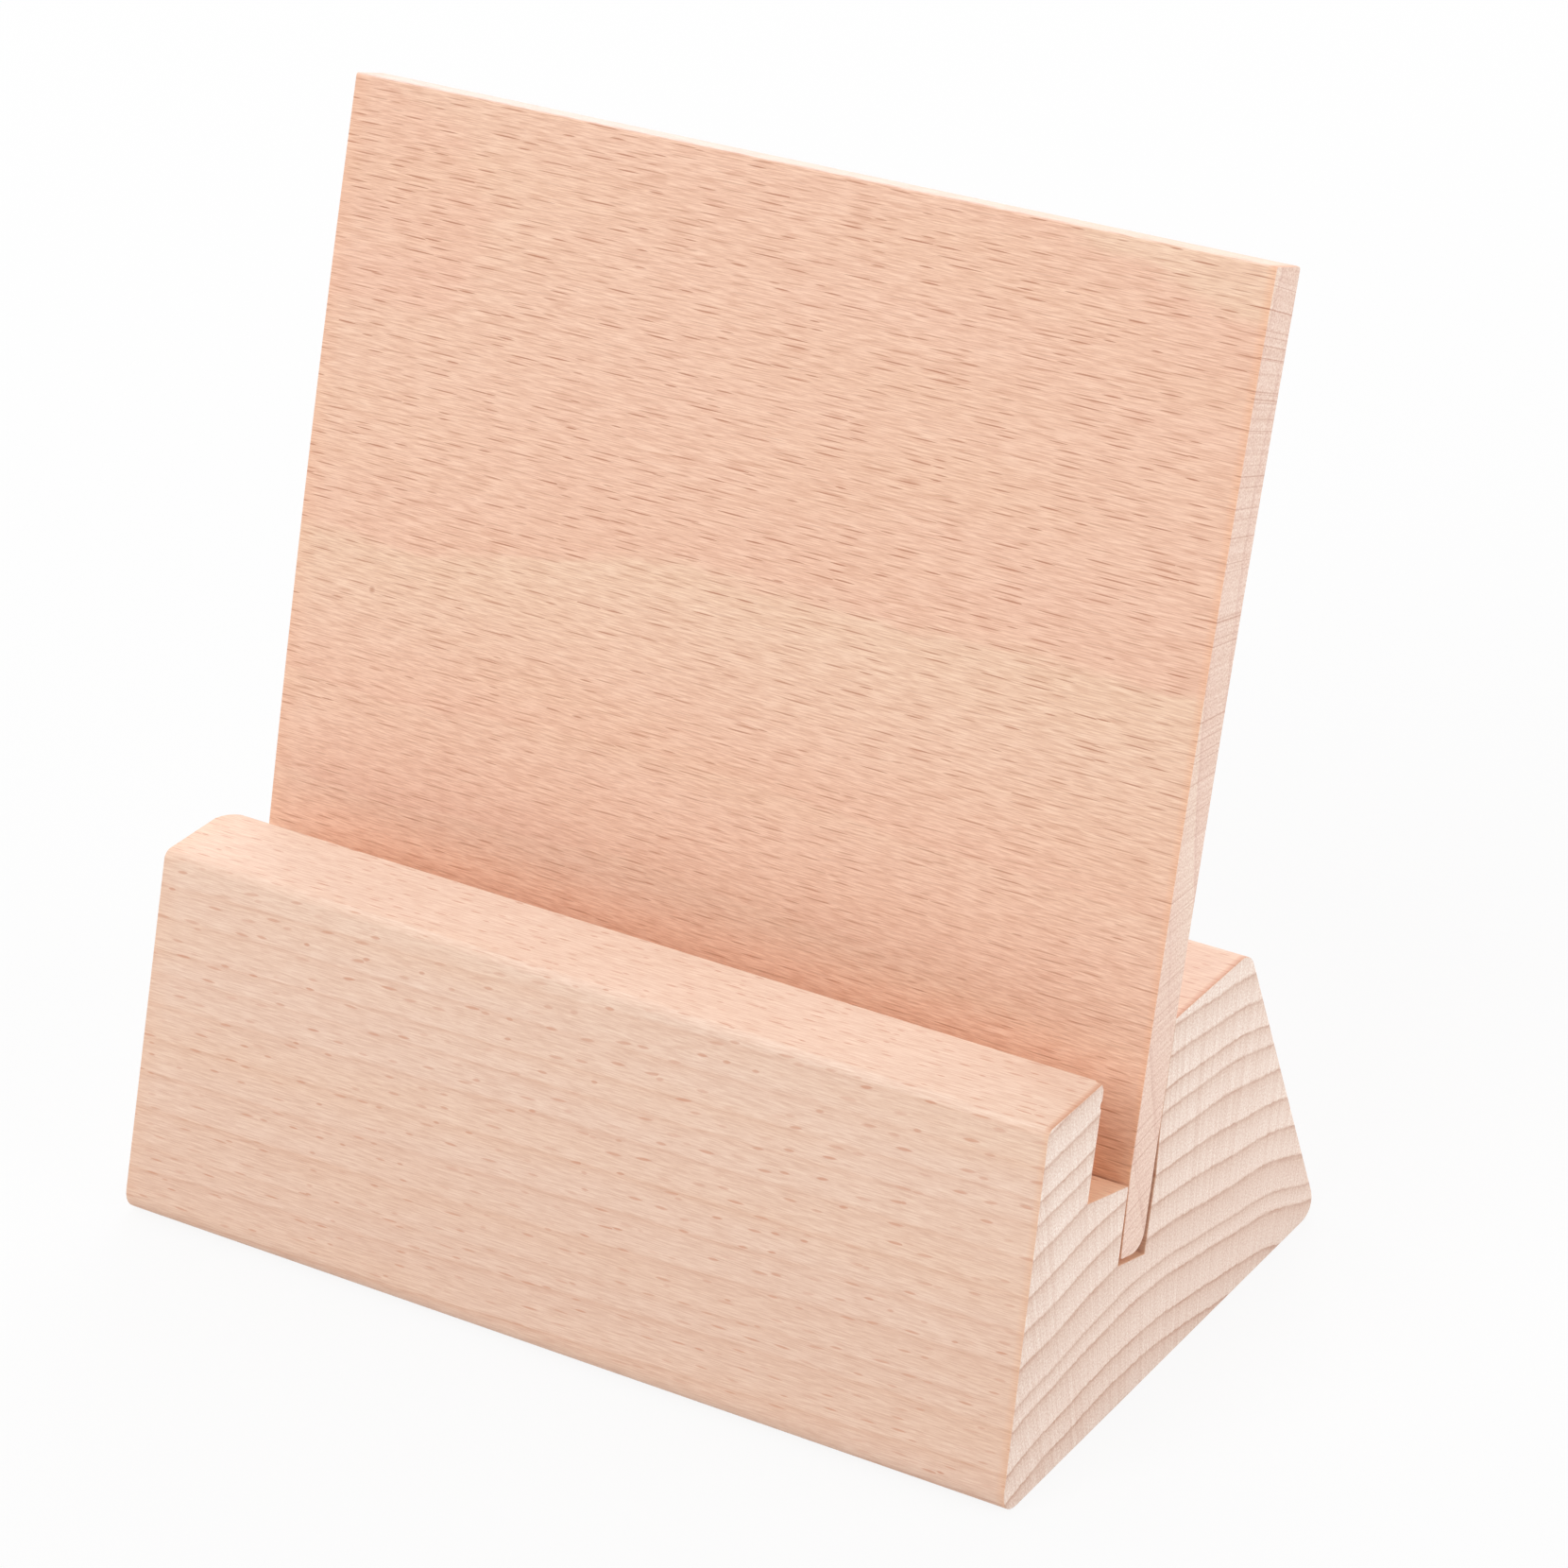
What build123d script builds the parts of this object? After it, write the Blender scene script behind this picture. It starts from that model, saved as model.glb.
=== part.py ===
import os
from math import acos, atan2, cos, degrees, hypot, radians, sin, tan

from build123d import *

# A desk stand for photos in two pieces of solid beech: a bar with sloping faces and a stepped
# groove along its top, and a thin board that stands in the groove and leans back.
# Millimetres, +Z up, +X along the bar, the front face towards -Y, and the origin at the middle
# of the underside.

# Block and board are cut to one length, flush with each other at both ends
stand_length = 100.0

# Base block: angles are in degrees from upright, and the rounds are on its long outer edges
block_height = 35.2
base_depth = 59.0  # underside from front to back, to the sharp corners before rounding
front_lean = 17.0  # front face, leaning back
back_lean = 20.0  # back face, leaning forward
front_foot_round = 2.0
back_foot_round = 2.0
front_top_round = 1.0
back_top_round = 2.2
block_ease = 0.35  # sanded arris round each sawn end

# Stepped groove, open at both ends of the block
lip_width = 9.4  # flat top of the lip in front of the groove
groove_lean = 16.3  # its walls, leaning back
groove_depth = 11.4  # from the lip's top to the ledge that a picture stands on, along the wall
groove_width = 7.0  # the ledge, from the lip's wall to the slot
slot_depth = 7.7  # from the ledge to the floor of the board's slot

# Back board
board_height = 90.5
board_thickness = 4.6
board_heel_round = 2.0  # lower back edge, rounded so that it drops into the slot
board_ease = 0.25  # arris round each end and along the top

# Fit of the board in its slot
slot_clearance = 0.8  # slot's width over the board's thickness
touch_gap = 0.05  # where the board bears on the slot's walls, at its foot and at the land
seat_gap = 0.5  # board's front lower edge above the slot's floor


def slope(angle):
    """Unit vectors up and across (towards the back) for a wall that leans back by an angle."""
    turn = radians(angle)
    return Vector(sin(turn), cos(turn)), Vector(cos(turn), -sin(turn))


def rounded_reach(lean, radius):
    """How far inside its sharp corner a rounded foot's outermost point lies."""
    return radius * (1 / tan(radians(90 - lean) / 2) - 1)


# Section of the block, Y across and Z up, measured from the sharp front foot
groove_up, groove_across = slope(groove_lean)
slot_width = board_thickness + slot_clearance
front_foot = Vector(0, 0)
front_top = Vector(block_height * tan(radians(front_lean)), block_height)
lip_edge = front_top + Vector(lip_width, 0)
ledge_front = lip_edge - groove_up * groove_depth
ledge_back = ledge_front + groove_across * groove_width
floor_front = ledge_back - groove_up * slot_depth
floor_back = floor_front + groove_across * slot_width
back_wall = (block_height - floor_back.Y) / cos(radians(groove_lean))
land_front = floor_back + groove_up * back_wall
back_top = Vector(base_depth - block_height * tan(radians(back_lean)), block_height)
back_foot = Vector(base_depth, 0)

# The board bears on the slot's front wall at its foot and on the land's edge at the back, so it
# leans a little more than the slot does
wall_rise = back_wall - seat_gap
wall_room = slot_width - touch_gap
wall_angle = atan2(wall_rise, wall_room)
bearing_angle = acos((board_thickness + touch_gap) / hypot(wall_room, wall_rise))
board_lean = groove_lean + degrees(bearing_angle - wall_angle)
board_up, board_across = slope(board_lean)
board_foot = floor_front + groove_across * touch_gap + groove_up * seat_gap
board_heel = board_foot + board_across * board_thickness
board_top_back = board_heel + board_up * board_height
board_top_front = board_foot + board_up * board_height

# Middle of the underside, between the outermost points of the two rounded feet
front_reach = rounded_reach(front_lean, front_foot_round)
back_reach = base_depth - rounded_reach(back_lean, back_foot_round)
middle = Vector((front_reach + back_reach) / 2, 0)


def section_bar(outline, rounds):
    """A bar of the stand's length along X, with the given section and some of its corners rounded."""
    section = make_face(Polyline(*[point - middle for point in outline], close=True))
    for corner, radius in rounds:
        nearest = section.vertices().sort_by_distance(corner - middle)[0]
        section = fillet(nearest, radius)
    return extrude(Plane.YZ * section, amount=stand_length / 2, both=True)


def end_edges(bar):
    """The edges round the two end faces of a bar along X."""
    ends = bar.faces().sort_by(Axis.X)
    return ends[0].edges() + ends[-1].edges()


def make_base_block():
    outline = [
        front_foot,
        front_top,
        lip_edge,
        ledge_front,
        ledge_back,
        floor_front,
        floor_back,
        land_front,
        back_top,
        back_foot,
    ]
    rounds = [
        (front_foot, front_foot_round),
        (front_top, front_top_round),
        (back_top, back_top_round),
        (back_foot, back_foot_round),
    ]
    block = section_bar(outline, rounds)
    return chamfer(end_edges(block), block_ease)


def make_back_board():
    outline = [board_foot, board_heel, board_top_back, board_top_front]
    rounds = [
        (board_heel, board_heel_round),
        (board_top_back, board_ease),
        (board_top_front, board_ease),
    ]
    board = section_bar(outline, rounds)
    return chamfer(end_edges(board), board_ease)


nodes = {"base_block": make_base_block(), "back_board": make_back_board()}

os.makedirs("parts", exist_ok=True)
for name, shape in nodes.items():
    shape.label = name
    export_step(shape, f"parts/{name}.step")
    print(name, shape.bounding_box())
print("board leans", board_lean, "degrees and lifts along", board_up)
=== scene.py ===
from math import cos, radians, sin, tan

import bpy
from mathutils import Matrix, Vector


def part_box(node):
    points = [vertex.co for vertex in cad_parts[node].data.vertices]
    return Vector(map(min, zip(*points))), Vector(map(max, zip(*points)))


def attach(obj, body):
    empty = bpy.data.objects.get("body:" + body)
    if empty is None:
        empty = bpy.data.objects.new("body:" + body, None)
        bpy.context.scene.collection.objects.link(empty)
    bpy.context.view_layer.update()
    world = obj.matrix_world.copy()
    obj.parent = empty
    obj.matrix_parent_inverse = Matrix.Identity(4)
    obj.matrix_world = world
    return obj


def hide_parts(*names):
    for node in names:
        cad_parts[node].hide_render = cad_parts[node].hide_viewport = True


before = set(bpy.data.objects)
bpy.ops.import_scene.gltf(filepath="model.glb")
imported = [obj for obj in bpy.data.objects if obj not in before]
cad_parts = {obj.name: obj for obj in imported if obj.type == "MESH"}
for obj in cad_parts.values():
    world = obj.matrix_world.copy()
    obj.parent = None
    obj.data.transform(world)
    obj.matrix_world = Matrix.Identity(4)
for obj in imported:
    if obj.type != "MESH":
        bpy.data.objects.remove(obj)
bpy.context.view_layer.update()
mm = 0.001
square = radians(90)
near = 0.02 * mm  # how close a point is to the place it is picked by
flush = 0.001 * mm  # the same for points on a sawn end
smoothAngle = radians(40)

# Two pieces of solid beech: a grooved block, and a thin board that leans in its slot.
# The board and the groove's cutter are modelled upright, then leaned and moved to their place.


def deselectAll():
    bpy.ops.object.select_all(action="DESELECT")


def makeActive(piece):
    deselectAll()
    bpy.context.view_layer.objects.active = piece
    piece.select_set(True)


def applyPlace():
    # puts the active piece's place, turn and scale into its mesh
    bpy.ops.object.transform_apply(location=True, rotation=True, scale=True)


def addBox(name, low, high):
    # a cube stretched between two corners
    deselectAll()
    middle = [(a + b) / 2 for a, b in zip(low, high)]
    bpy.ops.mesh.primitive_cube_add(size=1, location=middle)
    piece = bpy.context.object
    piece.name = name
    piece.data.name = name
    piece.scale = [b - a for a, b in zip(low, high)]
    applyPlace()
    return piece


def startPick(kind):
    # empties the selection, so that points, edges or faces can be picked in object mode
    bpy.ops.object.mode_set(mode="EDIT")
    bpy.ops.mesh.select_mode(type=kind)
    bpy.ops.mesh.select_all(action="DESELECT")
    bpy.ops.object.mode_set(mode="OBJECT")


def pickPoints(piece, wanted):
    # selects the points that pass the test, and stays in edit mode
    startPick("VERT")
    for point in piece.data.vertices:
        point.select = wanted(point.co)
    bpy.ops.object.mode_set(mode="EDIT")


def pickEdges(piece, wanted):
    # the same for edges, by their two ends
    startPick("EDGE")
    corners = piece.data.vertices
    for edge in piece.data.edges:
        a, b = edge.vertices
        edge.select = wanted(corners[a].co, corners[b].co)
    bpy.ops.object.mode_set(mode="EDIT")


def pickFaces(piece, wanted):
    # the same for faces, by their middle and normal
    startPick("FACE")
    for face in piece.data.polygons:
        face.select = wanted(face.center, face.normal)
    bpy.ops.object.mode_set(mode="EDIT")


def nudge(piece, wanted, move):
    # moves the points that pass the test
    pickPoints(piece, wanted)
    bpy.ops.transform.translate(value=move)
    bpy.ops.object.mode_set(mode="OBJECT")


def roundPicked(offset, segments, kind):
    # rounds off the picked edges or points
    bpy.ops.mesh.bevel(offset=offset, segments=segments, affect=kind)
    bpy.ops.object.mode_set(mode="OBJECT")


def roundAlongX(piece, y, z, radius, corner, segments):
    # rounds the edges that run along X through one point of the section, whose inner angle is the corner
    def onEdge(a, b):
        return all(abs(p.y - y) < near and abs(p.z - z) < near for p in (a, b))

    pickEdges(piece, onEdge)
    roundPicked(radius / tan(corner / 2), segments, "EDGES")


def easeEnds(piece, halfLength, ease, segments):
    # sanded arris round both sawn ends
    pickEdges(piece, lambda a, b: abs(a.x) > halfLength - flush and abs(b.x - a.x) < flush)
    roundPicked(ease, segments, "EDGES")


def sliceActive(point, normal, clear=False):
    # cuts the active piece through along a plane, and clears what lies beyond it if asked
    bpy.ops.object.mode_set(mode="EDIT")
    bpy.ops.mesh.select_all(action="SELECT")
    bpy.ops.mesh.bisect(plane_co=point, plane_no=normal, use_fill=clear, clear_outer=clear)
    bpy.ops.object.mode_set(mode="OBJECT")


def cutAway(piece, cutter):
    # takes the cutter's shape out of the piece
    makeActive(piece)
    cut = piece.modifiers.new("cut", "BOOLEAN")
    cut.operation = "DIFFERENCE"
    cut.solver = "EXACT"
    cut.object = cutter
    bpy.ops.object.modifier_apply(modifier=cut.name)
    bpy.data.objects.remove(cutter)


def lean(piece, angle, place):
    # leans a piece back about X and moves it to its place
    makeActive(piece)
    piece.rotation_euler.x = -angle
    piece.location = place
    applyPlace()


def smoothFinish(piece):
    # flat faces stay flat beside their rounds
    makeActive(piece)
    bpy.ops.object.shade_smooth_by_angle(angle=smoothAngle)
    flat = piece.modifiers.new("flatFaces", "WEIGHTED_NORMAL")
    flat.keep_sharp = True
    bpy.ops.object.modifier_apply(modifier=flat.name)


# Block
block = {
    "frontLean": radians(17.0),
    "backLean": radians(20.0),
    "frontFootRound": 2.0 * mm,
    "backFootRound": 2.0 * mm,
    "frontTopRound": 1.0 * mm,
    "backTopRound": 2.2 * mm,
    "roundSegments": 8,
    "lipWidth": 9.4 * mm,
    "grooveLean": radians(16.3),
    "grooveDepth": 11.4 * mm,
    "grooveWidth": 7.33 * mm,
    "slotDepth": 7.7 * mm,
    "slotWidth": 5.07 * mm,
    "wallLean": radians(16.65),  # slot's back wall, where the board rests on it
    "wallIn": 0.48 * mm,
    "wallBend": -6.2 * mm,  # lower end of that stretch, below the lip
    "floorIn": 0.19 * mm,  # the slot narrows by this much to its floor
    "cutterPast": 5.0 * mm,  # how far the groove's cutter stands out of the ends
    "grooveEase": 0.15 * mm,
    "endEase": 0.12 * mm,
    "easeSegments": 3,
    "footOut": {-1: -0.9 * mm, 1: 1.1 * mm},  # how far the front foot is out of true, left and right
    "leftEndIn": 0.5 * mm,  # left-hand saw cut, inside its line
    "rightFootOut": 0.2 * mm,  # right-hand saw cut, outside its line at the front foot
    "rightFootRise": 8.0 * mm,
    "wornCorner": 2.4 * mm,  # lip's back corner at the left-hand end
    "wornSegments": 6,
    "chips": ((0.1 * mm, 0.7 * mm), (2.2 * mm, 0.5 * mm)),  # how far down the lip's wall, and how large
    "chipShape": (1.4, 0.6, 1.0),
}


def footReach(angle, radius):
    # how far inside its sharp corner a rounded foot ends
    return radius * (1 / tan((square - angle) / 2) - 1)


def findSection():
    # places across the block, before any rounding, that its steps share
    low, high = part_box("base_block")
    height = high[2]
    frontFoot = low[1] - footReach(block["frontLean"], block["frontFootRound"])
    backFoot = high[1] + footReach(block["backLean"], block["backFootRound"])
    frontTop = frontFoot + height * tan(block["frontLean"])
    lipEdge = frontTop + block["lipWidth"]
    slotBack = block["grooveWidth"] + block["slotWidth"]
    wallTilt = tan(block["wallLean"] - block["grooveLean"])
    across, up = sin(block["grooveLean"]), cos(block["grooveLean"])
    wallIn = block["wallIn"] / (1 - wallTilt * across / up)
    return {
        "left": low[0],
        "right": high[0],
        "height": height,
        "frontFoot": frontFoot,
        "backFoot": backFoot,
        "frontTop": frontTop,
        "backTop": backFoot - height * tan(block["backLean"]),
        "lipEdge": lipEdge,
        "slotBack": slotBack,
        "wallTilt": wallTilt,
        "landEdge": lipEdge + (slotBack - wallIn) / up,
        "ledgeEdge": (
            lipEdge - block["grooveDepth"] * across + block["grooveWidth"] * up,
            height - block["grooveDepth"] * up - block["grooveWidth"] * across,
        ),
    }


def makeGrooveCutter(at):
    # the slot, widened to the front above the ledge, with the lip's edge at the origin until it is leaned
    wall, back = block["grooveWidth"], at["slotBack"]
    top, ledge = block["grooveDepth"], -block["grooveDepth"]
    floor = ledge - block["slotDepth"]
    past = block["cutterPast"]
    cutter = addBox("grooveCutter", (at["left"] - past, wall, floor), (at["right"] + past, back, top))
    for z in (ledge, block["wallBend"]):
        sliceActive((0, 0, z), (0, 0, 1))
    pickFaces(cutter, lambda middle, normal: round(normal.y) == -1 and middle.z > ledge)
    bpy.ops.mesh.extrude_region_move(TRANSFORM_OT_translate={"value": (0, -wall, 0)})
    bpy.ops.object.mode_set(mode="OBJECT")

    # the slot's back wall, then its floor
    land = back * tan(block["grooveLean"])  # height of the wall's top edge
    for z in (block["wallBend"], top):
        move = (0, (z - land) * at["wallTilt"] - block["wallIn"], 0)
        nudge(cutter, lambda p: p.y > back - near and abs(p.z - z) < near, move)
    nudge(cutter, lambda p: p.y < wall + near and p.z < floor + near, (0, block["floorIn"], 0))
    lean(cutter, block["grooveLean"], (0, at["lipEdge"], at["height"]))
    return cutter


def roundBlock(piece, at):
    # long edges, with the front foot put out of true, then the groove's edges and the sawn ends
    front, back, segments = block["frontLean"], block["backLean"], block["roundSegments"]
    height = at["height"]
    roundAlongX(piece, at["frontFoot"], 0, block["frontFootRound"], square - front, segments)
    footTop = 2 * block["frontFootRound"]
    for end, shift in block["footOut"].items():
        nudge(piece, lambda p: p.x * end > 0 and p.y < at["frontTop"] and p.z < footTop, (0, shift, 0))
    roundAlongX(piece, at["backFoot"], 0, block["backFootRound"], square - back, segments)
    roundAlongX(piece, at["frontTop"], height, block["frontTopRound"], square + front, segments)
    roundAlongX(piece, at["backTop"], height, block["backTopRound"], square + back, segments)

    pickPoints(piece, lambda p: p.x < 0 and abs(p.y - at["lipEdge"]) < near and p.z > height - near)
    roundPicked(block["wornCorner"], block["wornSegments"], "VERTICES")
    ease, segments = block["grooveEase"], block["easeSegments"]
    roundAlongX(piece, at["lipEdge"], height, ease, square - block["grooveLean"], segments)
    roundAlongX(piece, at["landEdge"], height, ease, square + block["grooveLean"], segments)
    roundAlongX(piece, *at["ledgeEdge"], ease, square, segments)
    easeEnds(piece, at["right"], block["endEase"], segments)


def wearBlock(piece, at):
    # wood torn out where the saw left the lip's wall at the right-hand end, and saw cuts out of true
    for down, size in block["chips"]:
        deselectAll()
        y = at["lipEdge"] - down * sin(block["grooveLean"])
        z = at["height"] - down * cos(block["grooveLean"])
        bpy.ops.mesh.primitive_ico_sphere_add(radius=size, location=(at["right"], y, z))
        chip = bpy.context.object
        chip.scale = block["chipShape"]
        applyPlace()
        cutAway(piece, chip)
    nudge(piece, lambda p: p.x < 0, (block["leftEndIn"], 0, 0))
    rise = block["rightFootRise"]
    nudge(piece, lambda p: p.x > 0 and p.y < 0 and p.z < rise, (block["rightFootOut"], 0, 0))


def makeBlock():
    at = findSection()
    corners = (at["left"], at["frontFoot"], 0), (at["right"], at["backFoot"], at["height"])
    piece = addBox("beechBlock", *corners)
    slopes = (
        (at["frontFoot"], -cos(block["frontLean"]), sin(block["frontLean"])),
        (at["backFoot"], cos(block["backLean"]), sin(block["backLean"])),
    )
    for foot, across, up in slopes:
        sliceActive((0, foot, 0), (0, across, up), clear=True)
    cutAway(piece, makeGrooveCutter(at))
    roundBlock(piece, at)
    wearBlock(piece, at)
    smoothFinish(piece)
    print("block", len(piece.data.polygons), "faces")
    return piece


# Board
board = {
    "height": 90.5 * mm,
    "thickness": 4.4 * mm,
    "lean": radians(17.845),
    "foot": (-7.335 * mm, 15.245 * mm),  # its front lower edge
    "heelRound": 2.0 * mm,
    "heelSegments": 8,
    "ease": 0.26 * mm,
    "endEase": 0.12 * mm,
    "easeSegments": 3,
    "endOut": {1: 0.28 * mm, -1: -0.05 * mm},  # right-hand saw cut, out of true at its top and its foot
    "footRise": 8.5 * mm,  # the foot is pared thinner below this
    "footIn": 0.5 * mm,
    "cup": 0.75 * mm,  # the board has bowed towards the front by this much
    "cupCuts": 31,
}


def makeBoard():
    low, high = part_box("back_board")
    half, thickness = board["height"] / 2, board["thickness"]
    piece = addBox("beechBoard", (low[0], 0, -half), (high[0], thickness, half))
    roundAlongX(piece, thickness, -half, board["heelRound"], square, board["heelSegments"])
    for y, z in ((0, -half), (0, half), (thickness, half)):
        roundAlongX(piece, y, z, board["ease"], square, board["easeSegments"])
    easeEnds(piece, high[0], board["endEase"], board["easeSegments"])

    for end, shift in board["endOut"].items():
        nudge(piece, lambda p: p.x > 0 and p.z * end > 0, (shift, 0, 0))
    sliceActive((0, 0, board["footRise"] - half), (0, 0, 1))
    footTop = 2 * board["ease"] - half
    nudge(piece, lambda p: p.y < thickness / 2 and p.z < footTop, (0, board["footIn"], 0))

    pickEdges(piece, lambda a, b: abs(a.z - b.z) > half)
    bpy.ops.mesh.subdivide(number_cuts=board["cupCuts"])
    bpy.ops.object.mode_set(mode="OBJECT")
    cup = piece.modifiers.new("cup", "SIMPLE_DEFORM")
    cup.deform_method = "BEND"
    cup.deform_axis = "X"
    cup.angle = 8 * board["cup"] / board["height"]  # angle of an arc, by its rise and length
    bpy.ops.object.modifier_apply(modifier=cup.name)

    # the bend keeps the middle, so half the height goes up and the cup's depth goes forward
    across, up = sin(board["lean"]), cos(board["lean"])
    footY, footZ = board["foot"]
    middleY = footY + half * across - board["cup"] * up
    middleZ = footZ + half * up + board["cup"] * across
    lean(piece, board["lean"], (0, middleY, middleZ))
    smoothFinish(piece)
    print("board", len(piece.data.polygons), "faces")
    return piece


# Beech
# The wood is solid all through: rings round a pith line outside the piece, rays that run out from the
# pith, and fibres along X. Sizes are in millimetres from here on, unless they have mm beside them.
def tone(red, green, blue):
    # a colour as a screen shows it, 0 to 255, made linear for the shader
    linear = []
    for part in (red, green, blue):
        part = part / 255
        linear.append(part / 12.92 if part <= 0.04045 else ((part + 0.055) / 1.055) ** 2.4)
    return (*linear, 1.0)


beech = {  # what the two pieces share
    # uneven figures: scale along the grain, round and out, then the noise's range and what it gives
    "streak": ((0.08, 1.5, 1.5), (0.3, 0.7), (0.985, 1.015)),
    "grit": ((2.2, 3.5, 3.5), (0.3, 0.7), (0.985, 1.015)),
    "patch": ((0.02, 0.1, 0.2), (0.4, 0.7), (0.0, 0.35)),
    "brokenLine": ((0.05, 0.3, 0.05), (0.35, 0.65), (0.3, 1.0)),
    "stipple": ((1.0, 5.0, 5.0), (0.3, 0.7), (0.83, 1.16)),
    "sheen": ((0.02, 3.0, 0.04), (0.35, 0.65), (0.93, 1.05)),
    "fibreScale": (0.42, 9.0, 9.0),
    "fibreRange": (0.33, 0.67),
    "noiseRoughness": 0.55,
    "ringEdge": 0.1,  # half the width of the drop from one year to the next
    "raySlant": 0.06,
    "rayEdge": 0.5,  # how softly a ray ends
    "rayStrength": (0.2, 1.0),
    "rayOnTop": 1.6,  # rays are cut square on the tops, so they are this much wider there
    "smallRay": (0.6, 7.3),  # size of the small rays, and how far their cells are shifted
    "smallRayShow": 0.15,
    "topTurn": (0.75, 0.92),  # how far up a face looks before it is a top
    "sawnTurn": (0.45, 0.8),  # how far along X it looks before it is a sawn end
    "topHighlightStretch": (-70.0, -10.0),  # where the painted highlight on tops changes from left to right
    "rightPaintedGlow": (-0.8, 0.0, 0.0, 0.5),  # painted light glowing through the wood at the right-hand end: from, to and the share at each, as for the arris
    "arrisShow": (-0.7, -0.1, 0.0, 0.8),
    "roughness": (0.2, 0.8, 0.5, 0.62),  # the fibres' range, and the roughness at each end of it
    "pinEdge": 0.3,  # where a pin knot starts to fade, as a part of its radius
    "pinShow": 0.6,
    "shadePowers": (0.7, 1.2, 1.45),  # for red, green and blue
    "specular": 0.45,
    "rayDent": 0.5,  # how deep the rays lie, beside the fibres
    "bumpStrength": 0.08,
    "bumpDepth": 0.05 * mm,
}

blockWood = {
    "pith": (-10.0 * mm, -88.7 * mm),  # back and up, at the right-hand end, where the rings are counted
    "turn": 0.0,  # from upright to the way that the wood grew
    "skew": 0.0,  # sideways, per millimetre along the grain
    "spiral": -0.028,  # the same for the fibres and rays
    "rise": -0.026,  # outwards, per millimetre along the grain
    "meanRadius": 106.0,
    "wander": (((0.012, 0.07, 0.05), 1.6), ((0.2, 1.2, 0.8), 0.35)),  # unevenness of the rings and its reach
    "rings": (  # radius of each year's outer edge, and how strongly it shows
        (86.0, 0.8), (88.9, 0.8), (91.75, 0.9), (94.47, 1.0), (98.24, 0.9), (100.18, 0.7), (103.56, 0.9),
        (106.78, 1.0), (109.91, 0.9), (113.24, 1.0), (116.12, 0.8), (118.3, 0.9), (121.27, 0.8),
        (124.2, 1.0), (127.2, 0.9),
    ),
    "paintedLowShade": (90.0, 125.0, 0.94, 1.02),  # painted shade: darker towards the pith, which lies below, so darker towards the bottom
    "climb": 2.0,  # how late in the year its wood darkens
    "lineFrom": 0.86,  # where in the year the thin line starts
    "early": tone(237, 204, 183),
    "late": tone(233, 197, 175),
    "line": tone(216, 166, 138),
    "lineShow": 0.5,
    "warm": tone(236, 198, 170),
    "fibre": (0.88, 1.11),  # darkest and lightest
    "fleck": tone(206, 141, 111),
    "fleckShow": 0.66,
    "fleckCell": (3.4, 0.72),  # room for each ray, along and round
    "fleckReach": (0.4, 1.2),  # half its length, least and most
    "fleckWidth": 0.062,
    "fleckTurn": (-0.1, 0.15),  # none on faces that look further down than this
    "paintedBounce": (25.0 * mm, 29.0 * mm, 1.0, 0.0),  # painted bounce light, lighter and warmer on the ledge: two heights, and the share at each
    "paintedBounceTurn": (0.75, 0.92),  # on tops alone
    "paintedBounceTone": tone(255, 212, 180),
    # painted highlight: tops lighter and paler than the faces below
    "top": tone(253, 230, 214),
    "topHighlightShow": (0.2, 0.2),
    "arris": tone(210, 152, 124),
    "leftPaintedShade": (3.0, 0.2),  # painted shade at the left-hand end: how far from it, and its share
    # one colour for painted light at the right-hand end and painted shade at the left-hand end
    "glow": tone(236, 186, 150),
    "endEarly": tone(241, 221, 208),
    "endLate": tone(221, 192, 175),
    "endLine": tone(200, 158, 138),
    "endLineShow": 1.0,
    "endRay": tone(208, 178, 163),
    "endRayShow": 0.5,
}

boardWood = {
    "pith": (122.6 * mm, 43.8 * mm),
    "turn": radians(71.9),
    "skew": 0.1,
    "spiral": 0.0,
    "rise": 0.018,
    "jog": (-86.0, -60.0, -1.3, 0.0),  # a step in the rings: from, to and how far at each
    "meanRadius": 118.0,
    "wander": (((0.02, 0.05, 0.05), 0.9), ((0.12, 0.5, 0.5), 0.45)),
    "rings": (
        (104.0, 0.5), (108.6, 0.5), (112.8, 0.45), (116.6, 1.0), (121.0, 0.35), (124.7, 0.35), (128.6, 0.4),
        (133.0, 0.4),
    ),
    "climb": 1.0,
    "lineFrom": 0.93,
    "early": tone(239, 202, 176),
    "late": tone(239, 194, 170),
    "line": tone(228, 180, 154),
    "lineShow": 0.25,
    "warm": tone(236, 194, 164),
    "fibre": (0.83, 1.16),
    "fleck": tone(188, 126, 97),
    "fleckShow": 0.95,
    "fleckCell": (5.0, 0.7),
    "fleckReach": (0.7, 2.6),
    "fleckWidth": 0.085,
    "fleckFade": (-38.0, -14.0, 0.7, 1.0),  # fainter towards its foot
    "fleckTurn": (0.75, 0.5),  # none on its top edge
    "paintedBounce": (23.0 * mm, 36.0 * mm, 0.25, 0.03),  # painted bounce light from the groove, warmer at its foot
    "paintedBounceTurn": (-0.1, 0.15),  # on its front alone
    "paintedBounceTone": tone(252, 194, 146),
    # painted highlight: tops lighter and paler than the faces below
    "top": tone(240, 212, 202),
    "topHighlightShow": (0.8, 0.35),
    "arris": tone(226, 168, 138),
    # painted shade at the left-hand end: how far from it, and its share
    "leftPaintedShade": (2.5, 0.2),
    # one colour for painted light at the right-hand end and painted shade at the left-hand end
    "glow": tone(242, 184, 146),
    "endEarly": tone(238, 212, 195),
    "endLate": tone(234, 203, 187),
    "endLine": tone(196, 150, 130),
    "endLineShow": 0.35,
    "endRay": tone(198, 146, 124),
    "endRayShow": 0.8,
    "pin": (-90.5, -25.7, 0.45),  # a pin knot: along, to the side and its radius
}


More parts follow.
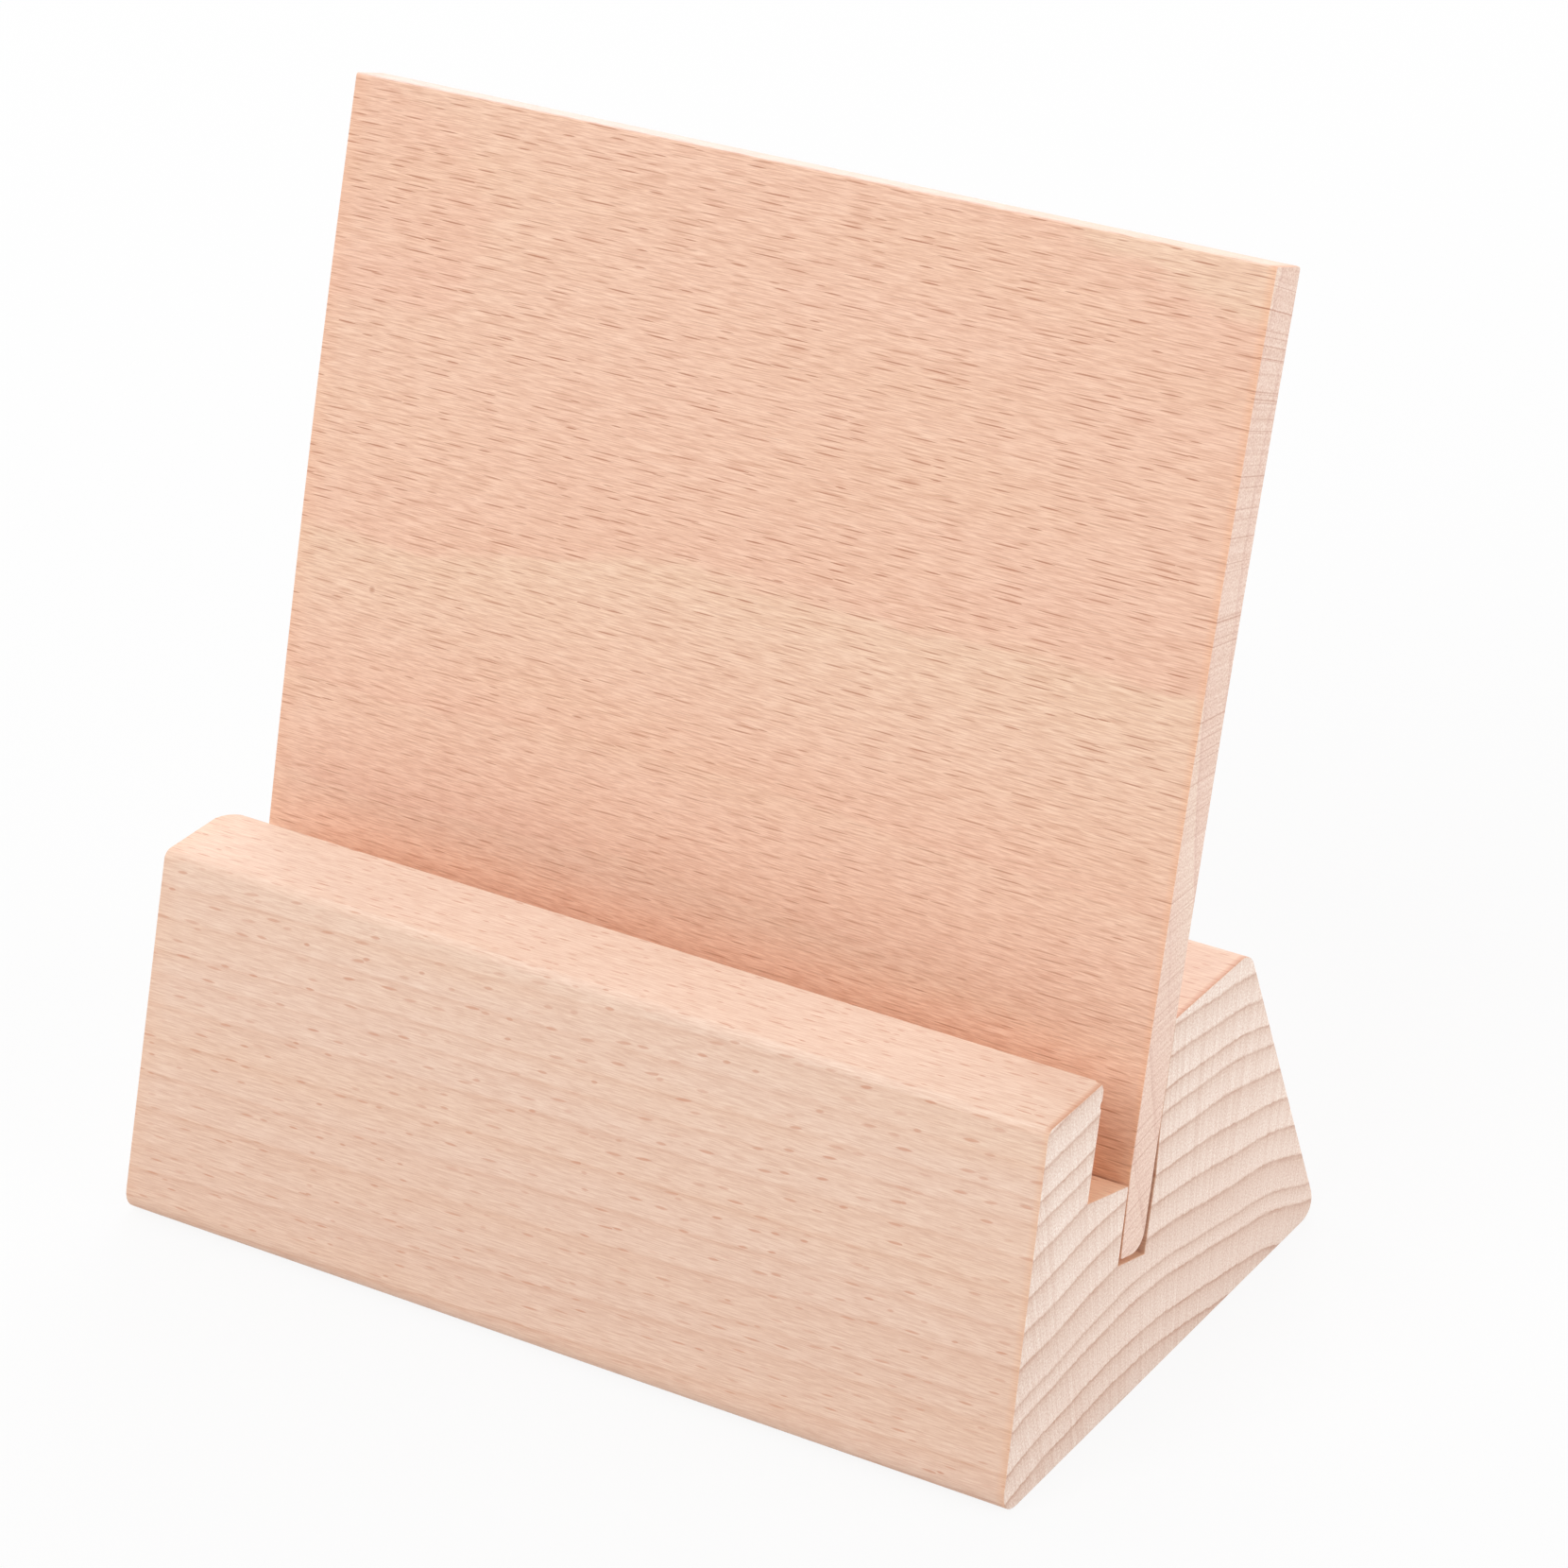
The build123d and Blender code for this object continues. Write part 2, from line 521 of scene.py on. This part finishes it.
def addNode(tree, kind, values, **settings):
    # a node with its settings made, and numbers or links put into its sockets
    node = tree.nodes.new(kind)
    for key, value in settings.items():
        setattr(node, key, value)
    for key, value in values.items():
        if isinstance(value, bpy.types.NodeSocket):
            tree.links.new(value, node.inputs[key])
        else:
            node.inputs[key].default_value = value
    return node


def calc(tree, operation, *parts):
    return addNode(tree, "ShaderNodeMath", dict(enumerate(parts)), operation=operation).outputs[0]


def times(tree, a, b):
    return calc(tree, "MULTIPLY", a, b)


def vectorCalc(tree, operation, a, b):
    return addNode(tree, "ShaderNodeVectorMath", {0: a, 1: b}, operation=operation).outputs


def joined(tree, *parts):
    return addNode(tree, "ShaderNodeCombineXYZ", dict(enumerate(parts))).outputs[0]


def apart(tree, vector):
    return addNode(tree, "ShaderNodeSeparateXYZ", {0: vector}).outputs


def span(tree, value, low, high, toLow=0.0, toHigh=1.0):
    # stretches part of a range onto another, held at both ends
    sockets = {"Value": value, "From Min": low, "From Max": high, "To Min": toLow, "To Max": toHigh}
    return addNode(tree, "ShaderNodeMapRange", sockets).outputs[0]


def paint(tree, share, under, over):
    return addNode(tree, "ShaderNodeMix", {0: share, 6: under, 7: over}, data_type="RGBA").outputs[2]


def cloud(tree, grain, scale, detail=2.0):
    # noise with its own scale along the grain, round the rings and out through them, 0 to 1
    ways = (grain["along"], grain["around"], grain["distance"])
    where = joined(tree, *[times(tree, way, size) for way, size in zip(ways, scale)])
    sockets = {"Vector": where, "Scale": 1.0, "Detail": detail, "Roughness": beech["noiseRoughness"]}
    return addNode(tree, "ShaderNodeTexNoise", sockets).outputs[0]


def figure(tree, grain, name):
    # one of the uneven figures that the two pieces share
    scale, reach, result = beech[name]
    return span(tree, cloud(tree, grain, scale), *reach, *result)


def shade(tree, wood, grain, colour, level):
    # makes a colour lighter and paler, or darker and warmer, with painted shade towards the bottom where
    # asked
    # painted shade: darker towards the bottom of the block
    if "paintedLowShade" in wood:
        level = times(tree, level, span(tree, grain["distance"], *wood["paintedLowShade"]))
    levels = joined(tree, *[calc(tree, "POWER", level, power) for power in beech["shadePowers"]])
    return vectorCalc(tree, "MULTIPLY", colour, levels)[0]


def findGrain(tree, wood, node):
    # where a point lies in the wood, in millimetres from the pith, and which way its face looks
    low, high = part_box(node)
    place = tree.nodes.new("ShaderNodeTexCoord")
    fromPith = addNode(tree, "ShaderNodeMapping", {
        "Vector": place.outputs["Object"],
        "Location": (high[0], *wood["pith"]),
        "Rotation": (wood["turn"], 0, 0),
        "Scale": (mm, mm, mm),
    }, vector_type="TEXTURE")
    along, side, out = apart(tree, fromPith.outputs[0])
    around = times(tree, calc(tree, "ARCTAN2", side, out), wood["meanRadius"])
    skewed = calc(tree, "MULTIPLY_ADD", along, wood["skew"], side)
    facing = apart(tree, place.outputs["Normal"])
    return {
        "along": along,
        "side": side,
        "around": calc(tree, "MULTIPLY_ADD", along, wood["spiral"], around),
        "distance": calc(tree, "SQRT", calc(tree, "MULTIPLY_ADD", skewed, skewed, times(tree, out, out))),
        "length": (high[0] - low[0]) / mm,
        "height": apart(tree, place.outputs["Object"])[2],
        "endways": facing[0],
        "upwards": facing[2],
        "top": span(tree, facing[2], *beech["topTurn"]),
    }


def yearTone(tree, radius, rings):
    # climbs to 1 over each year's growth and drops at its outer edge by the ring's strength
    inner, outer = rings[0][0], rings[-1][0]
    ramp = addNode(tree, "ShaderNodeValToRGB", {"Fac": span(tree, radius, inner, outer)})
    stops = ramp.color_ramp.elements
    stops[0].color = (0, 0, 0, 1)
    stops[1].color = (1, 1, 1, 1)
    edge = beech["ringEdge"]
    for ring, strength in rings[1:-1]:
        for place, value in ((ring - edge, 1), (ring + edge, 1 - strength)):
            stop = stops.new((place - inner) / (outer - inner))
            stop.color = (value, value, value, 1)
    return addNode(tree, "ShaderNodeSeparateColor", {0: ramp.outputs[0]}).outputs[0]


def growRings(tree, wood, grain):
    # how late in its year the wood grew, and the thin line where the year ends
    radius = calc(tree, "MULTIPLY_ADD", grain["along"], wood["rise"], grain["distance"])
    if "jog" in wood:
        radius = calc(tree, "ADD", radius, span(tree, grain["along"], *wood["jog"]))
    for scale, reach in wood["wander"]:
        stray = calc(tree, "SUBTRACT", cloud(tree, grain, scale, detail=1.0), 0.5)  # to both sides of 0
        radius = calc(tree, "MULTIPLY_ADD", stray, reach, radius)
    year = yearTone(tree, radius, wood["rings"])
    line = times(tree, span(tree, year, wood["lineFrom"], 1.0), figure(tree, grain, "brokenLine"))
    return calc(tree, "POWER", year, wood["climb"]), line


def rayFlecks(tree, wood, grain, size=1.0, shift=0.0):
    # one spindle to each cell of the unrolled ring: the ends of the rays
    cellLength, cellWidth = [part * size for part in wood["fleckCell"]]
    x = calc(tree, "MULTIPLY_ADD", grain["along"], 1 / cellLength, shift)
    y = calc(tree, "MULTIPLY_ADD", grain["around"], 1 / cellWidth, shift)
    spot = joined(tree, x, y)
    cells = addNode(tree, "ShaderNodeTexVoronoi", {"Vector": spot, "Scale": 1.0}, voronoi_dimensions="2D")
    fromMiddle = apart(tree, vectorCalc(tree, "SUBTRACT", spot, cells.outputs["Position"])[0])
    luck = addNode(tree, "ShaderNodeSeparateColor", {0: cells.outputs["Color"]}).outputs
    reach = span(tree, luck[0], 0, 1, *[part * size for part in wood["fleckReach"]])
    length = calc(tree, "DIVIDE", times(tree, fromMiddle[0], cellLength), reach)
    slant = span(tree, luck[2], 0, 1, -beech["raySlant"], beech["raySlant"])
    width = calc(tree, "MULTIPLY_ADD", fromMiddle[1], cellWidth, times(tree, fromMiddle[0], slant))
    broad = times(tree, span(tree, grain["top"], 0, 1, 1.0, beech["rayOnTop"]), wood["fleckWidth"] * size)
    width = calc(tree, "DIVIDE", calc(tree, "ABSOLUTE", width), broad)
    body = calc(tree, "SUBTRACT", 1.0, calc(tree, "MULTIPLY_ADD", length, length, width))
    strength = span(tree, luck[1], 0, 1, *beech["rayStrength"])
    rays = times(tree, span(tree, body, 0, beech["rayEdge"]), strength)

    rays = times(tree, rays, span(tree, grain["upwards"], *wood["fleckTurn"]))
    if "fleckFade" in wood:
        rays = times(tree, rays, span(tree, grain["side"], *wood["fleckFade"]))
    return rays


def paintFace(tree, wood, grain, rings, rays, fibre):
    # a face along the grain, with painted light at the right-hand end, painted shade at the left-hand end, a
    # painted highlight on tops and painted bounce light low in the groove
    late, line = rings
    along, top = grain["along"], grain["top"]
    face = paint(tree, late, wood["early"], wood["late"])
    face = paint(tree, times(tree, line, wood["lineShow"]), face, wood["line"])
    face = paint(tree, figure(tree, grain, "patch"), face, wood["warm"])
    # painted highlight on the tops
    topHighlightShow = span(tree, along, *beech["topHighlightStretch"], *wood["topHighlightShow"])
    face = paint(tree, times(tree, top, topHighlightShow), face, wood["top"])
    # painted light: a warm glow along the faces at the right-hand end
    face = paint(tree, span(tree, along, *beech["rightPaintedGlow"]), face, wood["glow"])
    # painted shade: darker and warmer along the left-hand end
    reach, share = wood["leftPaintedShade"]
    leftEnd = -grain["length"]
    face = paint(tree, span(tree, along, leftEnd, leftEnd + reach, share, 0.0), face, wood["glow"])
    face = paint(tree, times(tree, top, span(tree, along, *beech["arrisShow"])), face, wood["arris"])
    # painted bounce light: warmer low in the groove
    paintedBounce = span(tree, grain["height"], *wood["paintedBounce"])
    paintedBounce = times(tree, paintedBounce, span(tree, grain["upwards"], *wood["paintedBounceTurn"]))
    face = paint(tree, paintedBounce, face, wood["paintedBounceTone"])

    level = span(tree, fibre, *beech["fibreRange"], *wood["fibre"])
    for name in ("streak", "grit"):
        level = times(tree, level, figure(tree, grain, name))
    face = shade(tree, wood, grain, face, level)
    smallRays = rayFlecks(tree, wood, grain, *beech["smallRay"])
    smallShow = wood["fleckShow"] * beech["smallRayShow"]
    face = paint(tree, times(tree, smallRays, smallShow), face, wood["fleck"])
    face = paint(tree, times(tree, rays, wood["fleckShow"]), face, wood["fleck"])
    if "pin" in wood:
        *middle, radius = wood["pin"]
        spot = joined(tree, along, grain["side"])
        away = vectorCalc(tree, "DISTANCE", spot, (*middle, 0))["Value"]
        knot = span(tree, away, beech["pinEdge"] * radius, radius, beech["pinShow"], 0.0)
        face = paint(tree, knot, face, wood["fleck"])
    return face


def paintEnd(tree, wood, grain, rings, rays):
    # a sawn end
    late, line = rings
    end = paint(tree, late, wood["endEarly"], wood["endLate"])
    end = paint(tree, times(tree, line, wood["endLineShow"]), end, wood["endLine"])
    end = paint(tree, times(tree, rays, wood["endRayShow"]), end, wood["endRay"])
    level = times(tree, figure(tree, grain, "stipple"), figure(tree, grain, "sheen"))
    return shade(tree, wood, grain, end, level)


def makeBeech(name, wood, node):
    material = bpy.data.materials.new(name)
    material.use_nodes = True
    tree = material.node_tree
    shader = tree.nodes["Principled BSDF"]
    grain = findGrain(tree, wood, node)
    rings = growRings(tree, wood, grain)
    rays = rayFlecks(tree, wood, grain)
    fibre = cloud(tree, grain, beech["fibreScale"])
    face = paintFace(tree, wood, grain, rings, rays, fibre)
    end = paintEnd(tree, wood, grain, rings, rays)
    sawn = span(tree, calc(tree, "ABSOLUTE", grain["endways"]), *beech["sawnTurn"])
    tree.links.new(paint(tree, sawn, face, end), shader.inputs["Base Color"])
    tree.links.new(span(tree, fibre, *beech["roughness"]), shader.inputs["Roughness"])
    shader.inputs["Specular IOR Level"].default_value = beech["specular"]
    relief = {
        "Height": calc(tree, "SUBTRACT", fibre, times(tree, rays, beech["rayDent"])),
        "Strength": beech["bumpStrength"],
        "Distance": beech["bumpDepth"],
    }
    tree.links.new(addNode(tree, "ShaderNodeBump", relief).outputs[0], shader.inputs["Normal"])
    print("material", name, len(tree.nodes), "nodes")
    return material


# Stage, in metres again
stage = {
    "cameraPlace": (246.848 * mm, -334.498 * mm, 272.417 * mm),
    "cameraTurn": (radians(61.4608), radians(2.3321), radians(33.9738)),
    "lens": 117.026,
    "sensor": 36.0,
    "ambient": 0.35,  # soft light from all round
    "white": (1, 1, 1, 1),
    "floorSize": 8.0,
    "floorTone": (0.75, 0.75, 0.75, 1),
    "floorRoughness": 0.9,
    "floorGlow": (0.15, 0.6, 0.88, 1.0),  # how much of its white is its own, near the stand and far off
    "lampAim": (0, 0, 0.04),  # middle of the stand
    "lampSize": 0.8,
    "lamps": {  # place, and power in watts
        "fromFront": ((-0.15, -0.82, 0.82), 6.6),
        "overhead": ((-0.1, 0.05, 1.0), 1.2),
        "fromRight": ((0.95, 0.15, 0.35), 5.1),
        "fromLeft": ((-0.95, 0.15, 0.35), 3.3),
        "fromBehind": ((-0.3, 0.9, 0.6), 5.8),
    },
}


def seenDirectly(tree):
    # 1 for what the camera sees, by itself or in gloss and glass
    path = tree.nodes.new("ShaderNodeLightPath")
    gloss = calc(tree, "MAXIMUM", path.outputs["Is Glossy Ray"], path.outputs["Is Transmission Ray"])
    return calc(tree, "MAXIMUM", path.outputs["Is Camera Ray"], gloss)


def makeFloor():
    deselectAll()
    bpy.ops.mesh.primitive_plane_add(size=stage["floorSize"])
    floor = bpy.context.object
    floor.name = "floor"
    material = bpy.data.materials.new("paleFloor")
    material.use_nodes = True
    tree = material.node_tree
    matt = tree.nodes["Principled BSDF"]
    matt.inputs["Base Color"].default_value = stage["floorTone"]
    matt.inputs["Roughness"].default_value = stage["floorRoughness"]
    matt.inputs["Specular IOR Level"].default_value = 0.0
    glow = addNode(tree, "ShaderNodeEmission", {"Color": stage["white"], "Strength": 1.0})
    spot = tree.nodes.new("ShaderNodeTexCoord").outputs["Object"]
    far = addNode(tree, "ShaderNodeVectorMath", {0: spot}, operation="LENGTH").outputs["Value"]
    share = times(tree, seenDirectly(tree), span(tree, far, *stage["floorGlow"]))
    both = addNode(tree, "ShaderNodeMixShader", {0: share, 1: matt.outputs[0], 2: glow.outputs[0]})
    tree.links.new(both.outputs[0], tree.nodes["Material Output"].inputs["Surface"])
    floor.data.materials.append(material)


def makeLight():
    world = bpy.data.worlds.new("studio")
    bpy.context.scene.world = world
    world.use_nodes = True
    tree = world.node_tree
    soft = tree.nodes["Background"]
    soft.inputs["Color"].default_value = stage["white"]
    strength = span(tree, seenDirectly(tree), 0, 1, stage["ambient"], 1.0)
    tree.links.new(strength, soft.inputs["Strength"])

    for name, (place, power) in stage["lamps"].items():
        aim = (Vector(place) - Vector(stage["lampAim"])).to_track_quat("Z", "Y").to_euler()
        bpy.ops.object.light_add(type="AREA", location=place, rotation=aim)
        lamp = bpy.context.object
        lamp.name = name
        lamp.data.size = stage["lampSize"]
        lamp.data.energy = power
        lamp.visible_camera = False


def makeCamera():
    bpy.ops.object.camera_add(location=stage["cameraPlace"], rotation=stage["cameraTurn"])
    camera = bpy.context.object
    camera.data.lens = stage["lens"]
    camera.data.sensor_width = stage["sensor"]
    bpy.context.scene.camera = camera
    bpy.context.scene.view_settings.view_transform = "Standard"


blockPiece = makeBlock()
blockPiece.data.materials.append(makeBeech("beechBlock", blockWood, "base_block"))
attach(blockPiece, "base")
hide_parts("base_block")

boardPiece = makeBoard()
boardPiece.data.materials.append(makeBeech("beechBoard", boardWood, "back_board"))
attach(boardPiece, "board")
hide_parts("back_board")

makeFloor()
makeLight()
makeCamera()
print("stage set")
